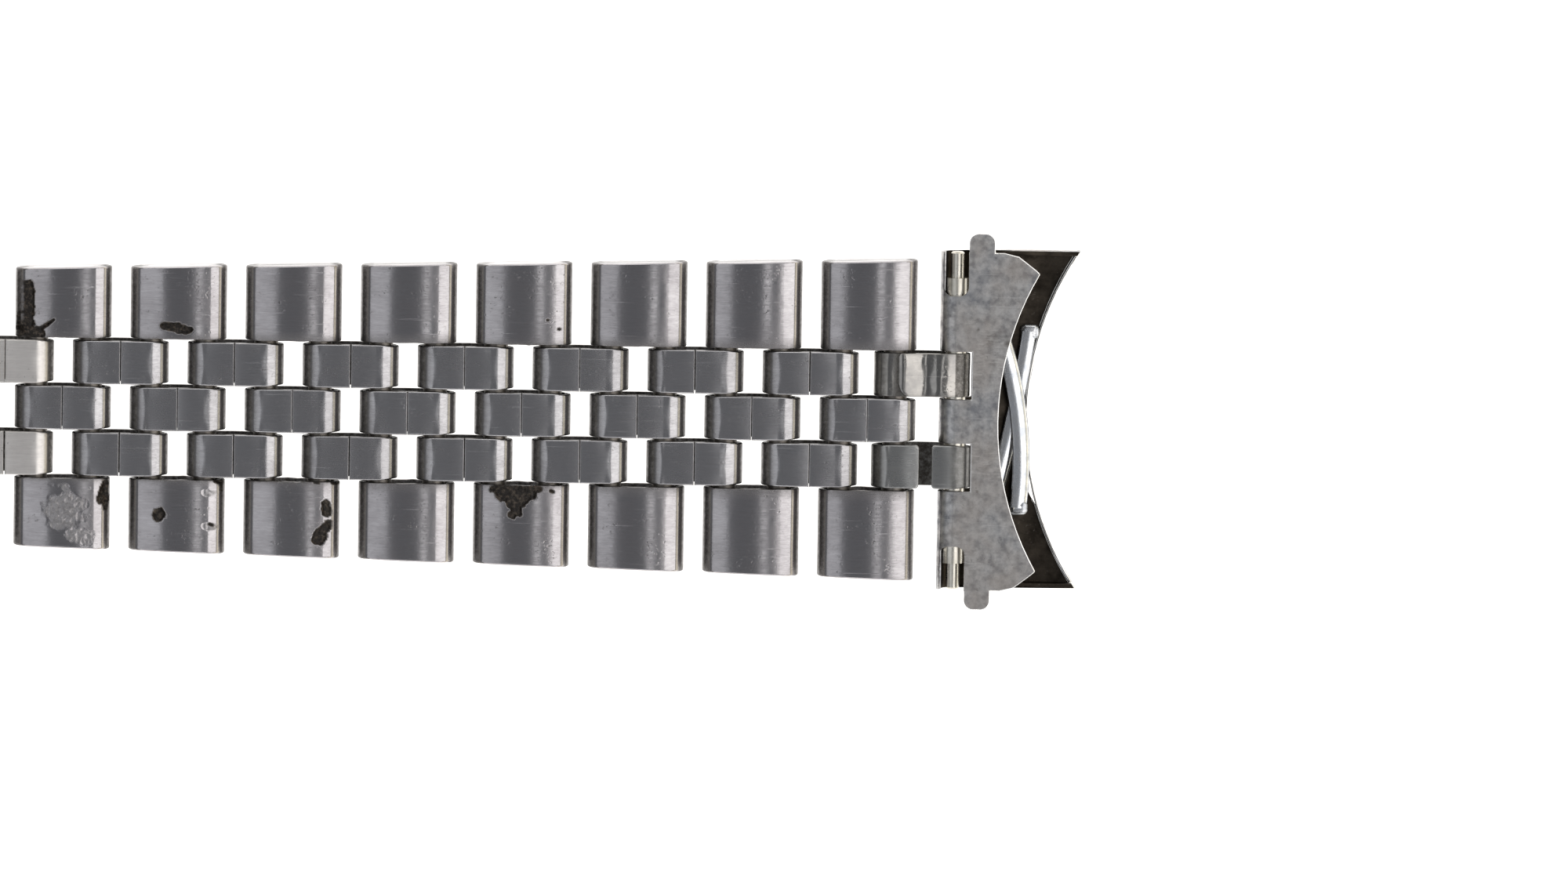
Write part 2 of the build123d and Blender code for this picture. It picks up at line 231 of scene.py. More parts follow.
def worn_steel(
    name,
    dark,
    light,
    base_roughness,
    gloss_drag=0.9,
    mottle=450,
    brushed=1.0,
    scuffs=0.0,
    smudges=(),
):
    """Steel with brushing along the strap, stains, small nicks, dirt and painted shade, etching and
    rusted pits.
    """
    material = bpy.data.materials.new(name)
    material.use_nodes = True
    tree = material.node_tree
    tree.nodes.clear()
    marks = {
        mark: shader_node(tree, "ShaderNodeAttribute", attribute_name=mark).outputs["Fac"]
        for mark in ("dirt_and_shade", "rust", "etch")
    }
    brush = plus(
        tree,
        times(tree, grain(tree, (150, 3600, 3600), 3.0, 0.6), 0.45),
        times(tree, grain(tree, (1100, 11000, 11000), 2.0, 0.6), 0.55),
    )
    stain = grain(tree, (mottle, mottle, mottle), 4.0, 0.6)
    crumb = grain(tree, (4200, 4200, 4200), 5.0, 0.7)
    nicks = spread(tree, grain(tree, (260, 7800, 900), 1.0, 0.4, 0.45), 0.70, 0.76)
    speck = spread(tree, grain(tree, (5200, 6800, 6000), 2.0, 0.5), 0.60, 0.74)
    flecks = times(tree, speck, spread(tree, grain(tree, (700, 700, 700), 3.0, 0.7), 0.50, 0.66))
    tone = plus(
        tree,
        times(tree, spread(tree, stain, 0.35, 0.65), 1 - 0.5 * brushed),
        times(tree, spread(tree, brush, 0.36, 0.64), 0.5 * brushed),
    )
    eaten = times(tree, marks["etch"], spread(tree, crumb, 0.42, 0.60, 0.30, 0.85))
    # Dark brown where the vertex mark asks for it: dirt together with painted shade in hollows,
    # gaps and at ends
    dirt_and_shade_share = times(tree, marks["dirt_and_shade"], spread(tree, crumb, 0.25, 0.6, 0.55, 1.0))

    colour = tint(tree, tone, dark, light)
    if scuffs:
        colour = scuffed(tree, colour, scuffs)
    bright = tuple(min(1.3 * share, 0.8) for share in light)
    colour = tint(tree, times(tree, nicks, 0.20), colour, bright)
    colour = smudged(tree, colour, stain, smudges)
    colour = tint(tree, times(tree, flecks, 0.55), colour, fleck_colour)
    colour = tint(tree, eaten, colour, etched_colour)
    colour = tint(tree, dirt_and_shade_share, colour, dirt_and_shade_colour)
    scab = tint(tree, spread(tree, crumb, 0.48, 0.66), scab_dark, scab_light)
    colour = tint(tree, marks["rust"], colour, scab)

    dull = greater(tree, times(tree, dirt_and_shade_share, 0.5), marks["rust"])
    roughness = plus(
        tree,
        spread(tree, tone, 0.0, 1.0, base_roughness + 0.08, base_roughness - 0.03),
        times(tree, greater(tree, dull, eaten), 0.35),
    )
    height = plus(
        tree,
        times(tree, brush, 0.24 * brushed),
        plus(tree, times(tree, flecks, -0.8), times(tree, nicks, -0.5)),
    )
    height = plus(tree, height, times(tree, stain, 0.8))
    soft = shader_node(
        tree, "ShaderNodeBump", {"Height": height, "Strength": 0.5, "Distance": fine_wear_height}
    )
    # Lowered by its own mean, so that the rough skin doesn't stand out at its rim
    rough_skin = times(
        tree,
        plus(tree, crumb, -0.56),
        plus(tree, marks["rust"], times(tree, marks["etch"], 0.45)),
    )
    coarse = shader_node(
        tree,
        "ShaderNodeBump",
        {
            "Height": rough_skin,
            "Strength": 0.8,
            "Distance": scab_height,
            "Normal": soft.outputs[0],
        },
    )
    drag = shader_node(tree, "ShaderNodeCombineXYZ", {"X": 0.02, "Y": 1.0, "Z": 0.01})
    surface = shader_node(
        tree,
        "ShaderNodeBsdfPrincipled",
        {
            "Base Color": colour,
            "Metallic": spread(tree, dull, 0.0, 1.0, 1.0, 0.25),
            "Roughness": roughness,
            "Anisotropic": gloss_drag,
            "Normal": coarse.outputs[0],
            "Tangent": drag.outputs[0],
        },
    )
    output = shader_node(tree, "ShaderNodeOutputMaterial")
    tree.links.new(surface.outputs[0], output.inputs["Surface"])
    return material


def arc_stations(centre, radius, angles):
    """Places along an arc, each with the way that the metal faces there."""
    for angle in angles:
        facing = (math.cos(angle), math.sin(angle))
        yield centre[0] + radius * facing[0], centre[1] + radius * facing[1], *facing


def steps(start, stop, count):
    """Evenly spaced values from start to stop, without the last."""
    return [start + (stop - start) * step / count for step in range(count)]


def curve_centre(left, right, radius_left, radius_right, curve, side):
    """The centre of the arc that runs smoothly from one end circle of a link to the other."""
    reach_left, reach_right, span = curve - radius_left, curve - radius_right, right - left
    along = (reach_left**2 - reach_right**2 + span**2) / (2 * span)
    return left + along, -side * math.sqrt(reach_left**2 - along**2)


def link_outline(ends, wrist_curve, counts, wrist_cuts=None):
    """The side view of a link, clockwise from the wrist side's clasp end. wrist_cuts opens it."""
    left, right, radius_left, radius_right = ends
    over = curve_centre(*ends, wrist_curve, 1)
    under = curve_centre(*ends, dial_curve, -1)
    over_left = math.atan2(-over[1], left - over[0])
    over_right = math.atan2(-over[1], right - over[0])
    under_left = math.atan2(-under[1], left - under[0])
    under_right = math.atan2(-under[1], right - under[0])
    ahead = steps(over_left, over_right, counts[0])
    behind = []
    if wrist_cuts:
        cuts = [
            [math.acos((place - over[0]) / wrist_curve) for place in part] for part in wrist_cuts
        ]
        behind, ahead = cuts
        behind = [over_left] + behind
    stations = list(arc_stations(over, wrist_curve, ahead))
    stations += arc_stations((right, 0), radius_right, steps(over_right, under_right, counts[1]))
    stations += arc_stations(under, dial_curve, steps(under_right, under_left, counts[2]))
    stations += arc_stations(
        (left, 0), radius_left, steps(under_left + 2 * math.pi, over_left, counts[3])
    )
    return stations + list(arc_stations(over, wrist_curve, behind))


def steel_piece(name, body, nodes, points, faces, marks, material, sharp=40):
    """Turns points in millimetres into a piece that rides on a body and stands for CAD nodes."""
    shape = bmesh.new()
    layers = {mark: shape.verts.layers.float.new(mark) for mark in marks}
    made = [shape.verts.new(Vector(point) * mm) for point in points]
    for mark, values in marks.items():
        for vert, value in zip(made, values):
            vert[layers[mark]] = value
    for face in faces:
        shape.faces.new([made[index] for index in face])
    bmesh.ops.recalc_face_normals(shape, faces=shape.faces)
    mesh = bpy.data.meshes.new(name)
    shape.to_mesh(mesh)
    shape.free()
    mesh.shade_smooth()
    mesh.set_sharp_from_angle(angle=math.radians(sharp))
    mesh.materials.append(material)
    piece = bpy.data.objects.new(name, mesh)
    bpy.context.scene.collection.objects.link(piece)
    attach(piece, body)
    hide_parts(*nodes)
    return piece


def swept_faces(first, count, last):
    """Quads between rings of count points, up to ring number last, and a face at each end."""
    faces = []
    for one in range(last):
        low, high = first + one * count, first + (one + 1) * count
        for step in range(count):
            after = (step + 1) % count
            faces.append((low + step, low + after, high + after, high + step))
    faces.append([first + step for step in range(count)])
    faces.append([first + last * count + step for step in range(count)])
    return faces


def shade_and_dirt_marks(dirt_and_shade):
    """The marks of a piece that is neither rusty nor etched anywhere."""
    none = [0.0] * len(dirt_and_shade)
    return {"dirt_and_shade": dirt_and_shade, "rust": none, "etch": none}


def rounded_off(gap, radius):
    """How much a round of this radius takes away at a distance from an edge or an end."""
    return radius - math.sqrt(radius**2 - (radius - gap) ** 2) if gap < radius else 0.0


def smooth_share(value, low, high):
    """A share that goes gently from 0 at low to 1 at high."""
    share = min(max((value - low) / (high - low), 0), 1)
    return share * share * (3 - 2 * share)


def pit_shares(along, across, blobs, seed):
    """How rusty and how deep a place is, near pits whose edges wander."""
    wander = noise.noise(Vector((along * 3.1, across * 3.1, seed))) * 0.11
    wander += noise.noise(Vector((along * 9.0, across * 9.0, seed + 5))) * 0.045
    nearest = 1.0
    for x1, y1, x2, y2, r1, r2 in blobs:
        run = Vector((x2 - x1, y2 - y1))
        gone = Vector((along - x1, across - y1))
        share = min(max(gone.dot(run) / max(run.length_squared, 1e-9), 0), 1)
        radius = r1 + (r2 - r1) * share
        nearest = min(nearest, (gone - run * share).length - radius - wander * min(1, radius * 4))
    return 1 - smooth_share(nearest, 0.02, 0.09), 1 - smooth_share(nearest, -0.09, 0.0)


def end_shade_and_dirt(place, case_end, clasp_end):
    """How darkly a place is painted, with shade and dirt, by its distance from the link's middle
    towards the two ends.
    """
    at_case = case_end[0] * smooth_share(place, *case_end[1:])
    return max(at_case, clasp_end[0] * smooth_share(-place, *clasp_end[1:]))


def etch_share(along, across, patches, seed):
    """How strongly a place is etched."""
    most = 0.0
    for x, y, half_length, half_width in patches:
        far = math.hypot((along - x) / half_length, (across - y) / half_width)
        far += noise.noise(Vector((along * 1.7, across * 1.7, seed))) * 0.5
        most = max(most, 1 - smooth_share(far, 0.65, 1.05))
    return most


def shell_section(width, wall_depth, runs):
    """The shell's wall from its closed side to its open side inside, and back outside."""
    lip_inside = sheet + lip_round
    inside = [(width - sheet, wall_depth), (width - sheet, lip_inside)]
    inside += [(width - sheet - lip_round, sheet), (width / 2, sheet), (lip_round, sheet)]
    inside += [(lip_bulge, sheet - lip_bulge), (0, sheet - lip_round)]
    inside += [(0, lip_round), (lip_bulge, lip_bulge)]
    reach = width - outer_edge_round
    outside = [(lip_round + (reach - lip_round) * step / runs, 0) for step in range(runs)]
    for step in range(6):
        angle = math.pi / 2 * step / 5
        out = reach + outer_edge_round * math.sin(angle)
        outside.append((out, outer_edge_round * (1 - math.cos(angle))))
    outside.append((width, wall_depth))
    return inside, outside


def eaten_surface(x, out, blobs, patches, seed):
    """How rusty and how etched a place is, and how far the wear has sunk it."""
    rust, sunk = pit_shares(x, out, blobs, seed) if blobs else (0.0, 0.0)
    etch = etch_share(x, out, patches, seed) if patches else 0.0
    rough = noise.noise(Vector((x * 7.5, out * 7.5, seed)))
    rough += 0.5 * noise.noise(Vector((x * 17, out * 17, seed)))
    ridges = abs(noise.noise(Vector((x * 3.4, out * 3.4, seed + 9))))
    pitted = sunk * (pit_depth + pit_grain * rough)
    return rust, etch, pitted + etch * etch_depth * (1.6 * ridges + 0.4 * rough)


def clasp_hole_rim(x, z, face_x, face_z, width):
    """Two places on the clasp hole's rim, outside and inside, that face a station of the wall."""
    way = Vector(
        (x - face_x * clasp_cavity_depth - clasp_hole_place, z - face_z * clasp_cavity_depth)
    )
    way = way.normalized() * clasp_hole_radius
    return [
        (clasp_hole_place + way.x, outer_inside + out + edge_slope * x * out / width, way.y)
        for out in (width, width - sheet)
    ]


def outer_shell(row, word, side, blobs, patches, material):
    """One shell. The shells of the last row are drilled for the clasp's pin."""
    eaten, drilled = bool(blobs or patches), row == row_count
    width = outer_width_first - outer_taper * (row - 1)
    centre = -inner_spacing - outer_spacing / 2 - (row - 1) * row_pitch
    outline = link_outline(
        (-outer_half, outer_half, outer_end_radius, outer_end_radius),
        outer_wrist_curve,
        eaten_stations if eaten else clean_stations,
    )
    inside, outside = shell_section(
        width,
        clasp_cavity_depth if drilled else cavity_depth,
        round((width - outer_edge_round) / fine_step) if eaten else clean_runs,
    )
    points, marks = [], {"dirt_and_shade": [], "rust": [], "etch": []}
    seed = row * 2 + side
    for x, z, face_x, face_z in outline:
        wander = noise.noise(Vector((x * 1.3, seed, 3)))
        wander += 0.5 * noise.noise(Vector((x * 4.5, seed, 7)))
        for number, (out, depth) in enumerate(inside + outside):
            rust = etch = 0.0
            if eaten and face_z > 0.05 and number >= len(inside) - 2:
                rust, etch, worn = eaten_surface(x, out, blobs, patches, seed)
                depth += worn
            y = out + edge_slope * x * out / width
            y += lip_wander * wander * math.exp(-out / lip_wander_reach)
            points.append(
                (centre + x - face_x * depth, side * (outer_inside + y), z - face_z * depth)
            )
            # Painted shade together with dirt: full inside the cavity, strong along the open lip
            # and at the two ends
            near_lip = 0.75 * math.exp(-out / lip_shade_and_dirt_reach)
            dirt_and_shade_share = max(near_lip, end_shade_and_dirt(x, outer_case_shade_and_dirt, outer_clasp_shade_and_dirt))
            in_cavity = number < len(inside) and depth > sheet / 2
            marks["dirt_and_shade"].append(1.0 if in_cavity else dirt_and_shade_share)
            marks["rust"].append(rust)
            marks["etch"].append(etch)
        if drilled:
            for along, across, height in clasp_hole_rim(x, z, face_x, face_z, width):
                points.append((centre + along, side * across, height))
                marks["dirt_and_shade"].append(0.7)
                marks["rust"].append(0.0)
                marks["etch"].append(0.0)
    count = len(inside) + len(outside) + 2 * drilled
    faces = []
    for one in range(len(outline)):
        low, high = one * count, (one + 1) % len(outline) * count
        for step in range(count if drilled else count - 1):
            after = (step + 1) % count
            faces.append((low + step, low + after, high + after, high + step))
    if not drilled:
        faces.append([one * count for one in range(len(outline))])
        faces.append([one * count + count - 1 for one in range(len(outline))])
    steel_piece(
        f"outer_shell_{word}_{row}",
        f"outer_row_{row}",
        [f"outer_link_{word}_{row}"],
        points,
        faces,
        marks,
        material,
    )


link_satin = worn_steel("link_satin", (0.40, 0.38, 0.39), (0.57, 0.55, 0.56), 0.17)
for row in range(1, row_count + 1):
    outer_shell(row, "left", 1, left_pits.get(row, ()), (), link_satin)
    outer_shell(row, "right", -1, right_pits.get(row, ()), right_etches.get(row, ()), link_satin)

# Centre links and inner links. Each is one steel strip folded round two pins until its ends meet
# in a seam on the wrist side. The strip's edges are tumbled round, and its width draws in at the
# two bends. No two are folded quite alike.
narrow_width = 2.57
column_gap = 0.15
column_pitch = narrow_width + column_gap
inner_end_radius = 1.05
narrow_wrist_curve = 60.0
strip_edge_round = 0.09
strip_inner_round = 0.03
seam_dip = 0.022
seam_dip_reach = 1.30
seam_lip_round = 0.032
bend_draw_clasp = 0.030
bend_draw_case = 0.060
crown_middle = 0.012
crown_ends = 0.036
# Stations of the wrist side by their distance from the seam's lip, and of the two ends and the
# dial side by their number
seam_steps = (0, 0.012, 0.03, 0.05, 0.08, 0.12, 0.18, 0.26, 0.36, 0.50)
narrow_stations = (0, 18, 16, 18)
# Painted shade and dirt at the seam, the sides and the ends, and painted shade on the dial side:
# how dark, and how far it reaches or, as shares of the half length, where it begins and is full
seam_shade_and_dirt, seam_shade_and_dirt_reach = 0.9, 0.035
side_shade_and_dirt, side_shade_and_dirt_reach = 0.55, 0.03
dial_side_shade = 0.15
narrow_case_shade_and_dirt = (0.92, 0.89, 0.95)
narrow_clasp_shade_and_dirt = (0.86, 0.66, 0.90)
open_seam_shade_and_dirt = (0.6, 0.50, 0.64)


def strip_section(half):
    """The strip's cross-section with its tumbled edges, as (out, depth) from the outer skin."""
    edge, under = strip_edge_round, strip_inner_round
    turn = [math.pi / 2 * step / 4 for step in range(5)]
    section = [(step * half / 7, 0.0) for step in range(-6, 7)]
    section += [(half - edge + edge * math.sin(a), edge * (1 - math.cos(a))) for a in turn]
    section += [(half, sheet - under), (half - under, sheet)]
    section += [(-half + under, sheet), (-half, sheet - under)]
    section += [(-half + edge - edge * math.cos(a), edge * (1 - math.sin(a))) for a in turn]
    return section


def folded_strip(
    name, body, node, centre, y_middle, ends, seam, lean, material, corner=0.0, dip=seam_dip
):
    """Sweeps the strip's cross-section round the pins, from one seam lip to the other."""
    left, right, radius_left, radius_right = ends
    seam_place, seam_gap = seam
    lip_left, lip_right = seam_place - seam_gap / 2, seam_place + seam_gap / 2
    behind = [left + 0.02 + (lip_left - seam_steps[-1] - left) * step / 8 for step in range(1, 8)]
    behind += [lip_left - gap for gap in reversed(seam_steps)]
    ahead = [lip_right + gap for gap in seam_steps]
    ahead += [ahead[-1] + (right - ahead[-1]) * step / 8 for step in range(1, 8)]
    outline = link_outline(ends, narrow_wrist_curve, narrow_stations, (behind, ahead))
    half = narrow_width / 2
    section = strip_section(half)
    points, dirt_and_shade = [], []
    middle, reach = (left + right) / 2, (right - left) / 2 + radius_left
    for number, (x, z, face_x, face_z) in enumerate(outline):
        on_wrist = number < len(ahead) or number >= len(outline) - len(behind) - 1
        gap = max(x - lip_right, lip_left - x, 0.0) if on_wrist else math.inf
        share = (x - middle) / reach
        draw = bend_draw_case if x > middle else bend_draw_clasp
        scale = 1 - draw * smooth_share(abs(share), 0.55, 1.0)
        scale *= 1 - rounded_off(gap, corner) / half
        crown = crown_middle + (crown_ends - crown_middle) * smooth_share(abs(share), 0.1, 0.8)
        turned = lean * (x - middle) * (1 - share**2) if on_wrist else 0.0
        sunk = dip * max(0.0, 1 - gap / seam_dip_reach) ** 2
        # Painted shade with dirt at the seam, the two ends and an open seam; painted shade on the
        # downward dial side
        dirt_and_shade_share = max(
            seam_shade_and_dirt * math.exp(-gap / seam_shade_and_dirt_reach),
            end_shade_and_dirt(share, narrow_case_shade_and_dirt, narrow_clasp_shade_and_dirt),
            dial_side_shade if face_z < 0 else 0.0,
        )
        if corner:
            dirt_and_shade_share = max(dirt_and_shade_share, open_seam_shade_and_dirt[0] * smooth_share(share, *open_seam_shade_and_dirt[1:]))
        for out, depth in section:
            lower = depth + sunk
            if depth < sheet / 2:
                lower += rounded_off(gap, seam_lip_round)
                lower += crown * (out / half) ** 2 if on_wrist else 0
            points.append(
                (
                    centre + x - face_x * lower,
                    y_middle + out * scale,
                    z - face_z * lower + turned,
                )
            )
            # Painted shade with dirt along the strip's sides, and full painted shade on its inside
            # faces
            at_side = side_shade_and_dirt * smooth_share(abs(out), half - side_shade_and_dirt_reach, half)
            inside = depth > sheet - 2 * strip_inner_round
            dirt_and_shade.append(1.0 if inside else max(at_side, dirt_and_shade_share))
    faces = swept_faces(0, len(section), len(outline) - 1)
    return steel_piece(
        name, body, [node], points, faces, shade_and_dirt_marks(dirt_and_shade), material
    )


strip_satin = worn_steel(
    "strip_satin", (0.36, 0.35, 0.36), (0.56, 0.55, 0.56), 0.22, gloss_drag=0.75
)
strip_matte = worn_steel("strip_matte", (0.64, 0.61, 0.59), (0.86, 0.83, 0.80), 0.40)
folding = random.Random(7)
for row in range(1, row_count + 1):
    outer_centre = -inner_spacing - outer_spacing / 2 - (row - 1) * row_pitch
    folded_strip(
        f"centre_strip_{row}",
        f"outer_row_{row}",
        f"centre_link_{row}",
        outer_centre,
        0.0,
        (-outer_half, outer_half, outer_end_radius, outer_end_radius),
        (folding.uniform(-0.05, 0.05), folding.uniform(0.012, 0.045)),
        math.radians(folding.uniform(-0.5, 0.9)),
        strip_satin,
    )
    if row == 1:
        continue
    inner_centre = -inner_spacing / 2 - (row - 1) * row_pitch
    for side, word in ((1, "left"), (-1, "right")):
        folded_strip(
            f"inner_strip_{word}_{row}",
            f"inner_row_{row}",
            f"inner_link_{word}_{row}",
            inner_centre,
            side * column_pitch,
            (-inner_spacing / 2, inner_spacing / 2, inner_end_radius, inner_end_radius),
            (folding.uniform(-0.05, 0.05), folding.uniform(0.025, 0.08)),
            math.radians(folding.uniform(-0.5, 0.9)),
            strip_matte if row == row_count else strip_satin,
        )

# First right connector: a folded link like the others, but its seam has opened and its clasp end
# has stretched. It turns on the spring bar in a slot of the end piece.
bar_radius = 0.65
hinge_play = 0.03
bar_end_radius = bar_radius + hinge_play + sheet
open_stretch = 0.30
open_seam_place, open_seam_gap = -inner_spacing / 2 + 0.06, 0.76
folded_strip(
    "open_connector",
    "inner_row_1",
    "inner_link_right_1",
    0.0,
    -column_pitch,
    (-inner_spacing - open_stretch, 0.0, inner_end_radius, bar_end_radius),
    (open_seam_place, open_seam_gap),
    math.radians(0.4),
    worn_steel("connector_satin", (0.34, 0.34, 0.34), (0.47, 0.47, 0.46), 0.26),
    corner=0.22,
    dip=0.06,
)

# First left connector, a thin one-piece strap. It goes round the spring bar, back under the dial
# side and round the pin, and its other end laps over as a flap with one corner cut round. It is
# polished, and a little dented where it was hammered shut.
strap_sheet = 0.15
strap_stretch = 0.38
strap_row_end = -inner_spacing - strap_stretch
pin_radius = 0.70
strap_row_radius = pin_radius + hinge_play + strap_sheet
strap_bar_radius = bar_radius + hinge_play + strap_sheet
flap_tip = -inner_spacing + 0.20
flap_height = strap_row_radius + hinge_play + strap_sheet
flap_corner = 0.80
flap_small_corner = 0.16
flap_dent = 0.016
strap_edge_round = 0.045
strap_side_shade_and_dirt_reach = 0.10
under_flap_end = -2.10

# How steeply the flap's top falls towards the spring bar, in degrees, by distance from its tip
flap_slopes = (
    (0.0, -34),
    (0.10, -12),
    (0.22, -1),
    (0.40, 7),
    (0.60, 9),
    (1.30, 10),
    (1.60, 6),
    (1.80, 0),
    (2.20, -1),
    (2.42, 4),
    (2.60, 7),
    (2.90, 9),
    (3.10, 10),
    (3.38, 14),
)
flap_step = 0.02
flap_heights = [0.0]
for number in range(1, 170):
    place = number * flap_step
    before, after = next(
        (one, two) for one, two in zip(flap_slopes, flap_slopes[1:]) if place <= two[0] + 1e-6
    )
    share = (place - before[0]) / (after[0] - before[0])
    slope = before[1] + (after[1] - before[1]) * share
    flap_heights.append(flap_heights[-1] - flap_step * math.tan(math.radians(slope)))
flap_lift = flap_height - max(flap_heights)


def flap_profile(x):
    """The height of the flap's top, which ends on the spring bar's loop."""
    place = min(max((x - flap_tip) / flap_step, 0), len(flap_heights) - 1.001)
    low, share = int(place), place % 1
    height = flap_heights[low] * (1 - share) + flap_heights[low + 1] * share + flap_lift
    end_height = flap_heights[-1] + flap_lift
    return height + (strap_bar_radius - end_height) * smooth_share(x, flap_tip + 1, 0)


strap_stations = []
flap_steps = steps(flap_tip, 0.0, 46)
for x in flap_steps:
    rise = (flap_profile(x + 0.01) - flap_profile(x - 0.01)) / 0.02
    tall = math.hypot(1, rise)
    strap_stations.append((x, flap_profile(x), -rise / tall, 1 / tall))
strap_ends = (strap_row_end, 0.0, strap_row_radius, strap_bar_radius)
strap_under = curve_centre(*strap_ends, dial_curve, -1)
under_right = math.atan2(-strap_under[1], -strap_under[0])
under_left = math.atan2(-strap_under[1], strap_row_end - strap_under[0])
strap_stations += arc_stations((0, 0), strap_bar_radius, steps(math.pi / 2, under_right, 16))
strap_stations += arc_stations(strap_under, dial_curve, steps(under_right, under_left, 16))
strap_stations += arc_stations(
    (strap_row_end, 0), strap_row_radius, steps(under_left + 2 * math.pi, math.pi / 2, 16)
)
for x in steps(strap_row_end, under_flap_end, 8) + [under_flap_end]:
    strap_stations.append((x, strap_row_radius - 0.01 * (x - strap_row_end), 0.0, 1.0))

half = narrow_width / 2
turn = [math.pi / 2 * step / 3 for step in range(4)]
strap_section = [(step * half / 6, 0.0) for step in range(-5, 6)]
strap_section += [
    (half - strap_edge_round + strap_edge_round * math.sin(a), strap_edge_round * (1 - math.cos(a)))
    for a in turn
]
strap_section += [(half, strap_sheet), (-half, strap_sheet)]
strap_section += [
    (-half + strap_edge_round * (1 - math.cos(a)), strap_edge_round * (1 - math.sin(a)))
    for a in turn
]
points, dirt_and_shade = [], []
for number, (x, z, face_x, face_z) in enumerate(strap_stations):
    on_flap = number < len(flap_steps)
    gap = x - flap_tip
    upper = lower = half
    shade = row_end = 0.0
    # Painted shadow along the flap's tip; painted shade with dirt on the strap under the flap, at
    # the row's end, along the sides and on the inside faces
    if on_flap:
        lower -= rounded_off(gap, flap_corner)
        upper -= rounded_off(gap, flap_small_corner)
        shade = 0.68 * math.exp(-gap / 0.06)
    else:
        row_end = 0.7 * (1 - smooth_share(x, -4.2, -4.0))
        if z > 0:
            shade = 0.85 * smooth_share(gap, -0.42, -0.05)
    for out, depth in strap_section:
        y = (upper - lower) / 2 + out * (upper + lower) / narrow_width
        dent = flap_dent * noise.noise(Vector((x * 1.6, y * 1.3, 4)))
        points.append(
            (x - face_x * (depth + dent), column_pitch + y, z - face_z * (depth + dent))
        )
        at_side = 0.35 * smooth_share(abs(out), half - strap_side_shade_and_dirt_reach, half)
        dirt_and_shade.append(1.0 if depth > 0.8 * strap_sheet else max(at_side, row_end, shade))
steel_piece(
    "lapped_connector",
    "inner_row_1",
    ["inner_link_left_1"],
    points,
    swept_faces(0, len(strap_section), len(strap_stations) - 1),
    shade_and_dirt_marks(dirt_and_shade),
    worn_steel(
        "strap_shine",
        (0.33, 0.32, 0.31),
        (0.50, 0.48, 0.45),
        0.10,
        gloss_drag=0.0,
        mottle=700,
        brushed=0.3,
    ),
)

# Row pins, the steel pins that the links turn on. Their steel is painted dark all over, as painted
# shade for the gaps between the links where they show, together with wear and old sweat.
pin_steel = worn_steel(
    "pin_steel", (0.10, 0.09, 0.08), (0.24, 0.22, 0.20), 0.36, gloss_drag=0.0, mottle=900
)
for row in range(1, row_count + 1):
    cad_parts[f"row_pins_{row}"].data.materials[0] = pin_steel

# End piece, the hollow folded sheet that fills the gap between the watch case's lugs. Its plate is
# matte from the rolling mill, and scuffed. The rounded cut edges are painted nearly white, a
# painted highlight on their worn polish, and the faces in the hollow are painted nearly black,
# painted shade over old sweat and dust.
end_edge_round = 0.06
end_sheet = 0.28
# Dark smudges on the plate: place, reach and depth
plate_smudges = (
    (3.10, 4.75, 0.98, 0.42, 0.75),
    (4.34, 7.45, 0.98, 0.26, 0.80),
    (1.27, 5.47, 0.98, 0.14, 0.70),
    (2.30, 5.00, 0.98, 0.55, 0.30),
    (1.35, -4.10, 0.98, 0.12, 0.60),
)
roll_radius = 0.98
roll_end, roll_end_radius = 9.95, 1.02
skin_radius, skin_fall = 14.0, math.radians(25)
skin_middle = Vector((math.sin(skin_fall), math.cos(skin_fall))) * (skin_radius - roll_radius)
# Where the faces that look into the hollow lie: the inside of the roll, the plate's underside,
# the side walls and the back of the rim
roll_inside_radius, roll_inside_half = 0.80, 7.35
plate_under_low, plate_under_high = 0.60, 0.75
side_wall_half = 9.80
rim_place, rim_top = 3.6, 0.4
# The plate's front edge, an arc
plate_arc_middle, plate_arc_radius = 22.32, 18.4


def in_the_hollow(place, facing):
    """Whether a face of the end piece looks into its hollow."""
    x, y, z = place / mm
    to_skin = skin_middle - Vector((x, z))
    looks = Vector((facing.x, facing.z))
    on_skin = x > 0.3 and z < rim_top and to_skin.length < skin_radius - 0.6 * end_sheet
    if on_skin and looks.dot(to_skin.normalized()) > 0.5:
        return True
    if math.hypot(x, z) < roll_inside_radius and looks.dot(Vector((-x, -z))) > 0.3:
        return abs(y) < roll_inside_half
    under_plate = plate_under_low < z < plate_under_high and facing.z < -0.7
    on_side_wall = z < plate_under_low and abs(y) < side_wall_half and facing.y * y < -0.5 * abs(y)
    behind_rim = x > rim_place and z < rim_top and facing.x < -0.75
    return under_plate or on_side_wall or behind_rim


def round_the_bar(edge):
    """Whether an edge lies on the roll's end face, which stays sharp round the bar's tip."""
    return all(
        abs(vert.co.y) > roll_end * mm
        and math.hypot(vert.co.x, vert.co.z) < roll_end_radius * mm
        for vert in edge.verts
    )


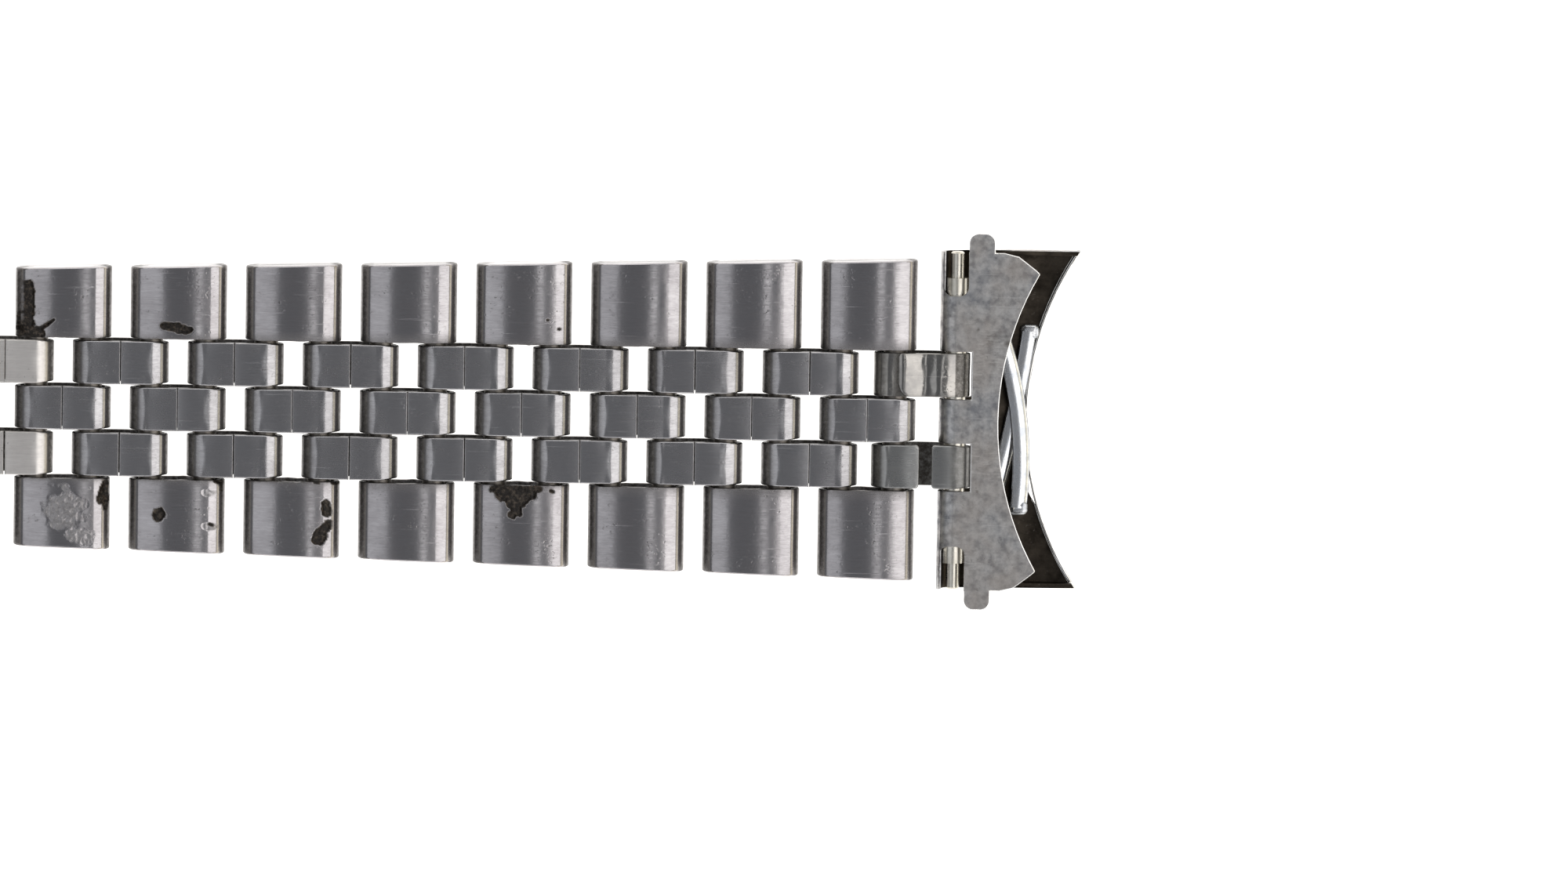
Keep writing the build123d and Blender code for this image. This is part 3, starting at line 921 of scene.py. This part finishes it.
shape = bmesh.new()
shape.from_mesh(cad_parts["end_piece"].data)
bmesh.ops.remove_doubles(shape, verts=shape.verts, dist=0.002 * mm)
bmesh.ops.dissolve_limit(
    shape, angle_limit=math.radians(0.8), verts=shape.verts, edges=shape.edges
)
bmesh.ops.dissolve_degenerate(shape, dist=0.004 * mm, edges=shape.edges)
keen = [
    edge
    for edge in shape.edges
    if len(edge.link_faces) == 2
    and edge.calc_face_angle(0) > math.radians(35)
    and not round_the_bar(edge)
]
sharp_skin = BVHTree.FromBMesh(shape)
cut_edges = bmesh.ops.bevel(
    shape,
    geom=keen,
    offset=end_edge_round * mm,
    segments=2,
    profile=0.5,
    affect="EDGES",
    clamp_overlap=False,
)
# Where the edges of a thin corner meet, the rounding can shoot past it, and is brought back
for vert in shape.verts:
    nearest_place, _, _, far = sharp_skin.find_nearest(vert.co)
    if far > end_edge_round / 2 * mm:
        vert.co = nearest_place
# Faces that look into the hollow get the nearly black steel: painted shade over old dirt
for face in shape.faces:
    face.material_index = int(in_the_hollow(face.calc_center_median(), face.normal))
# Rounded cut edges at the plate's top and front get the nearly white steel: a painted highlight on
# worn polish
for face in cut_edges["faces"]:
    place = face.calc_center_median() / mm
    in_front = math.hypot(place.x - plate_arc_middle, place.y) < plate_arc_radius
    if place.x > 0.9 and (place.z > plate_under_low or in_front):
        face.material_index = 2
mesh = bpy.data.meshes.new("end_piece_body_shell")
shape.to_mesh(mesh)
shape.free()
mesh.shade_smooth()
mesh.set_sharp_from_angle(angle=math.radians(33))
mesh.materials.append(
    worn_steel(
        "plate_steel",
        (0.22, 0.22, 0.23),
        (0.64, 0.63, 0.62),
        0.34,
        gloss_drag=0.0,
        mottle=1900,
        brushed=0.12,
        scuffs=0.4,
        smudges=plate_smudges,
    )
)
mesh.materials.append(
    worn_steel(
        "hollow_shade_steel",
        (0.018, 0.015, 0.012),
        (0.060, 0.050, 0.040),
        0.42,
        gloss_drag=0.0,
        mottle=800,
        brushed=0.3,
    )
)
mesh.materials.append(
    worn_steel(
        "cut_edge_highlight_steel",
        (0.72, 0.71, 0.69),
        (0.95, 0.94, 0.92),
        0.22,
        gloss_drag=0.0,
        mottle=900,
        brushed=0.2,
    )
)
end_shell = bpy.data.objects.new("end_shell", mesh)
even = end_shell.modifiers.new("even", "WEIGHTED_NORMAL")
even.keep_sharp = True
even.weight = 90
bpy.context.scene.collection.objects.link(end_shell)
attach(end_shell, "end_piece_body")
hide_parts("end_piece")

# Front leaves, two bowed steel strips that cross behind the rim. Each has a nearly flat face and a
# flank rolled down towards the case. A blunt foot is brazed to the skin, and the other end lies
# under the plate.
leaf_width, leaf_height = 1.00, 0.27
leaf_ridge = -0.07
leaf_face_curve, leaf_flank_curve = 5.0, 0.70
leaf_edge_round = 0.07
# The height of each leaf, and its foot, its bow and its tail. The first one passes over the other.
leaf_lines = (
    (-1.305, (3.82, -5.28), (3.93, -1.70), (2.75, 4.60)),
    (-1.595, (4.36, 5.16), (3.73, 1.20), (2.50, -4.10)),
)
leaf_steps = 64
foot_floor, foot_length, foot_width, foot_corner = -1.768, 1.08, 0.84, 0.30
foot_crown = 0.14
foot_points = 40
foot_unevenness = 0.14


def circle_through(first, second, third):
    """The middle and the radius of the circle through three places."""
    (ax, ay), (bx, by), (cx, cy) = first, second, third
    d = 2 * (ax * (by - cy) + bx * (cy - ay) + cx * (ay - by))
    a, b, c = ax * ax + ay * ay, bx * bx + by * by, cx * cx + cy * cy
    x = (a * (by - cy) + b * (cy - ay) + c * (ay - by)) / d
    y = (a * (cx - bx) + b * (ax - cx) + c * (bx - ax)) / d
    return x, y, math.hypot(ax - x, ay - y)


def leaf_section():
    """The leaf's cross-section, as (out, rise) from the side towards the links to the other."""
    section = [(-leaf_width / 2, 0.0)]
    for step in range(21):
        out = leaf_width * (step / 20 - 0.5)
        curve = leaf_face_curve if out < leaf_ridge else leaf_flank_curve
        rise = leaf_height - rounded_off(curve - abs(out - leaf_ridge), curve)
        rise -= rounded_off(out + leaf_width / 2, leaf_edge_round)
        section.append((out, rise))
    section.append((leaf_width / 2, 0.0))
    return section


points, faces, dirt_and_shade = [], [], []
for level, foot, bow, tail in leaf_lines:
    middle_x, middle_y, radius = circle_through(foot, bow, tail)
    start = math.atan2(foot[1] - middle_y, foot[0] - middle_x)
    stop = math.atan2(tail[1] - middle_y, tail[0] - middle_x)
    stop += 2 * math.pi * round((start - stop) / (2 * math.pi))
    section = leaf_section()
    first = len(points)
    for number in range(leaf_steps + 1):
        angle = start + (stop - start) * number / leaf_steps
        for out, rise in section:
            far = radius + out
            points.append(
                (middle_x + far * math.cos(angle), middle_y + far * math.sin(angle), level + rise)
            )
            # Painted shade on the face towards the links, with streaky stains, fading out before
            # the ridge; the rolled flank stays clean, and the underside gets painted shade
            streak = noise.noise(Vector((out * 11, number * 0.03, level)))
            face_shade_and_streaks = 0.22 + 0.35 * streak + 0.5 * smooth_share(-out, 0.32, leaf_width / 2)
            face_shade_and_streaks *= 1 - smooth_share(out, leaf_ridge - 0.04, leaf_ridge + 0.10)
            dirt_and_shade.append(max(face_shade_and_streaks, 0.0) if rise > 0.0 else 0.9)
    faces += swept_faces(first, len(section), leaf_steps)
    # The foot: rings of a rounded rectangle, drawn in towards the crowned top
    first = len(points)
    top = level + leaf_height - 0.02
    rings = ((0.0, foot_floor), (0.0, top - foot_crown), (0.03, top - 0.09), (0.08, top - 0.05))
    rings += ((0.16, top - 0.02), (0.26, top), (0.36, top))
    for inset, height in rings:
        corner = max(foot_corner - inset, 0.03)
        half_x, half_y = foot_length / 2 - inset - corner, foot_width / 2 - inset - corner
        for step in range(foot_points):
            angle = 2 * math.pi * (step + 0.5) / foot_points
            x = math.copysign(half_x, math.cos(angle)) + corner * math.cos(angle)
            y = math.copysign(half_y, math.sin(angle)) + corner * math.sin(angle)
            uneven = foot_unevenness * noise.noise(Vector((x * 4, y * 4, level + height)))
            points.append((foot[0] + x + uneven / 2, foot[1] + y, height + min(uneven, 0)))
            # Painted shade with dirt on the foot's sides, less on its top
            dirt_and_shade.append(0.60 if height < top - 0.06 else 0.30)
    faces += swept_faces(first, foot_points, len(rings) - 1)
steel_piece(
    "crossed_leaves",
    "end_piece_body",
    ["front_leaves"],
    points,
    faces,
    shade_and_dirt_marks(dirt_and_shade),
    worn_steel(
        "leaf_steel",
        (0.60, 0.63, 0.68),
        (0.93, 0.94, 0.96),
        0.17,
        gloss_drag=0.0,
        mottle=1400,
        brushed=0.3,
    ),
)

# Spring bar: a turned steel tube, rolled in at both ends over two sprung tips, with a coil of wire
# between them. It shows in the two notches, and keeps its own meshes.
bar_steel = worn_steel(
    "bar_steel",
    (0.60, 0.57, 0.50),
    (0.80, 0.77, 0.70),
    0.26,
    gloss_drag=0.0,
    mottle=900,
    brushed=0.3,
)
for node in ("spring_bar_tube", "spring_bar_tip_left", "spring_bar_tip_right", "spring_bar_coil"):
    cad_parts[node].data.materials[0] = bar_steel

# Floor: a plain pale table top. The photograph shows no shadow at all, so the table lies well
# below, where a bent strap doesn't reach it either.
table_half = 0.9
table_height = -30 * mm
floor_mesh = bpy.data.meshes.new("table_top")
table = bmesh.new()
bmesh.ops.create_grid(table, x_segments=1, y_segments=1, size=table_half)
table.to_mesh(floor_mesh)
table.free()
table_top = bpy.data.objects.new("table_top", floor_mesh)
table_top.location = (0, 0, table_height)
bpy.context.scene.collection.objects.link(table_top)
pale = bpy.data.materials.new("pale_table")
pale.use_nodes = True
paint = pale.node_tree.nodes["Principled BSDF"]
paint.inputs["Base Color"].default_value = (0.55, 0.55, 0.55, 1)
paint.inputs["Roughness"].default_value = 0.7
paint.inputs["Specular IOR Level"].default_value = 0.1
paint.inputs["Emission Color"].default_value = (1, 0.98, 0.95, 1)
paint.inputs["Emission Strength"].default_value = 1.0
floor_mesh.materials.append(pale)


def soft_box(name, angle_x, angle_y, width, length, brightness, distance=1.5, colour=(1, 1, 1)):
    """A studio soft box that hangs at an angle from straight above and faces the strap."""
    light = bpy.data.lights.new(name, "AREA")
    light.shape = "RECTANGLE"
    light.size, light.size_y = width, length
    light.energy = brightness * math.pi * width * length
    light.color = colour
    lamp = bpy.data.objects.new(name, light)
    way = Vector((math.tan(math.radians(angle_x)), math.tan(math.radians(angle_y)), 1)).normalized()
    along = Vector((0, 1, 0)).cross(way).normalized()
    lamp.matrix_world = Matrix(
        (
            (along.x, way.cross(along).x, way.x, way.x * distance),
            (along.y, way.cross(along).y, way.y, way.y * distance),
            (along.z, way.cross(along).z, way.z, way.z * distance),
            (0, 0, 0, 1),
        )
    )
    bpy.context.scene.collection.objects.link(lamp)


# Studio light: a large soft box towards each end of the strap, a slim one nearly overhead, and one
# beyond each side
soft_box("big_box_right", 38.5, 0, 1.50, 1.9, 1.40, colour=(1, 0.98, 0.96))
soft_box("slim_box_right", 5.6, 0, 0.075, 1.9, 0.75)
soft_box("big_box_left", -32, 0, 1.15, 1.9, 0.50, colour=(0.95, 0.97, 1))
soft_box("side_box_up", 0, 62, 1.8, 0.9, 1.3)
soft_box("side_box_down", 0, -62, 1.8, 0.9, 1.3)

# Surroundings: a grey room with a warm glow low on the case's side, which the flanks reflect
room_grey, room_glow = (0.145, 0.15, 0.16), (1.08, 1.0, 0.80)
world = bpy.data.worlds.new("room")
world.use_nodes = True
room = world.node_tree
outward = shader_node(room, "ShaderNodeTexCoord").outputs["Generated"]
way = shader_node(room, "ShaderNodeSeparateXYZ", {0: outward})
# The glow stands low in the room, and mostly on the case's side
low = spread(room, way.outputs["Z"], 0.42, 0.24)
ahead = spread(room, way.outputs["X"], 0.10, 0.50, 0.25, 1.0)
walls = tint(room, times(room, low, ahead), room_grey, room_glow)
room.links.new(walls, room.nodes["Background"].inputs["Color"])
bpy.context.scene.world = world
bpy.context.scene.view_settings.view_transform = "Standard"

# Camera: straight above the strap but for a small tilt and roll, with the spring bar's middle at
# its place in the photograph
photo_width, photo_height = 2000, 1125
px_per_mm = 21.65
bar_px, bar_py = 1218.5, 538.0
camera_tilt = 6.0
camera_roll = 0.9
camera_distance = 0.80
aim_height = 1.0 * mm
view_width = photo_width / px_per_mm * mm
camera_data = bpy.data.cameras.new("camera")
camera_data.sensor_width = 36.0
camera_data.lens = 36.0 * camera_distance / view_width
camera_data.clip_start, camera_data.clip_end = 0.05, 10.0
camera = bpy.data.objects.new("camera", camera_data)
roll = math.radians(camera_roll)
off_x = (photo_width / 2 - bar_px) / px_per_mm * mm
off_y = -(photo_height / 2 - bar_py) / px_per_mm * mm
aim = Vector(
    (
        off_x * math.cos(roll) - off_y * math.sin(roll),
        off_x * math.sin(roll) + off_y * math.cos(roll),
        aim_height,
    )
)
tilt = math.radians(camera_tilt)
back = Vector((0, math.sin(tilt), math.cos(tilt)))
camera.location = aim + back * camera_distance
camera.rotation_mode = "QUATERNION"
camera.rotation_quaternion = (
    Vector((0, 0, 1)).rotation_difference(back)
    @ Vector((math.cos(roll), math.sin(roll), 0)).to_track_quat("X", "Z")
)
bpy.context.scene.collection.objects.link(camera)
bpy.context.scene.camera = camera
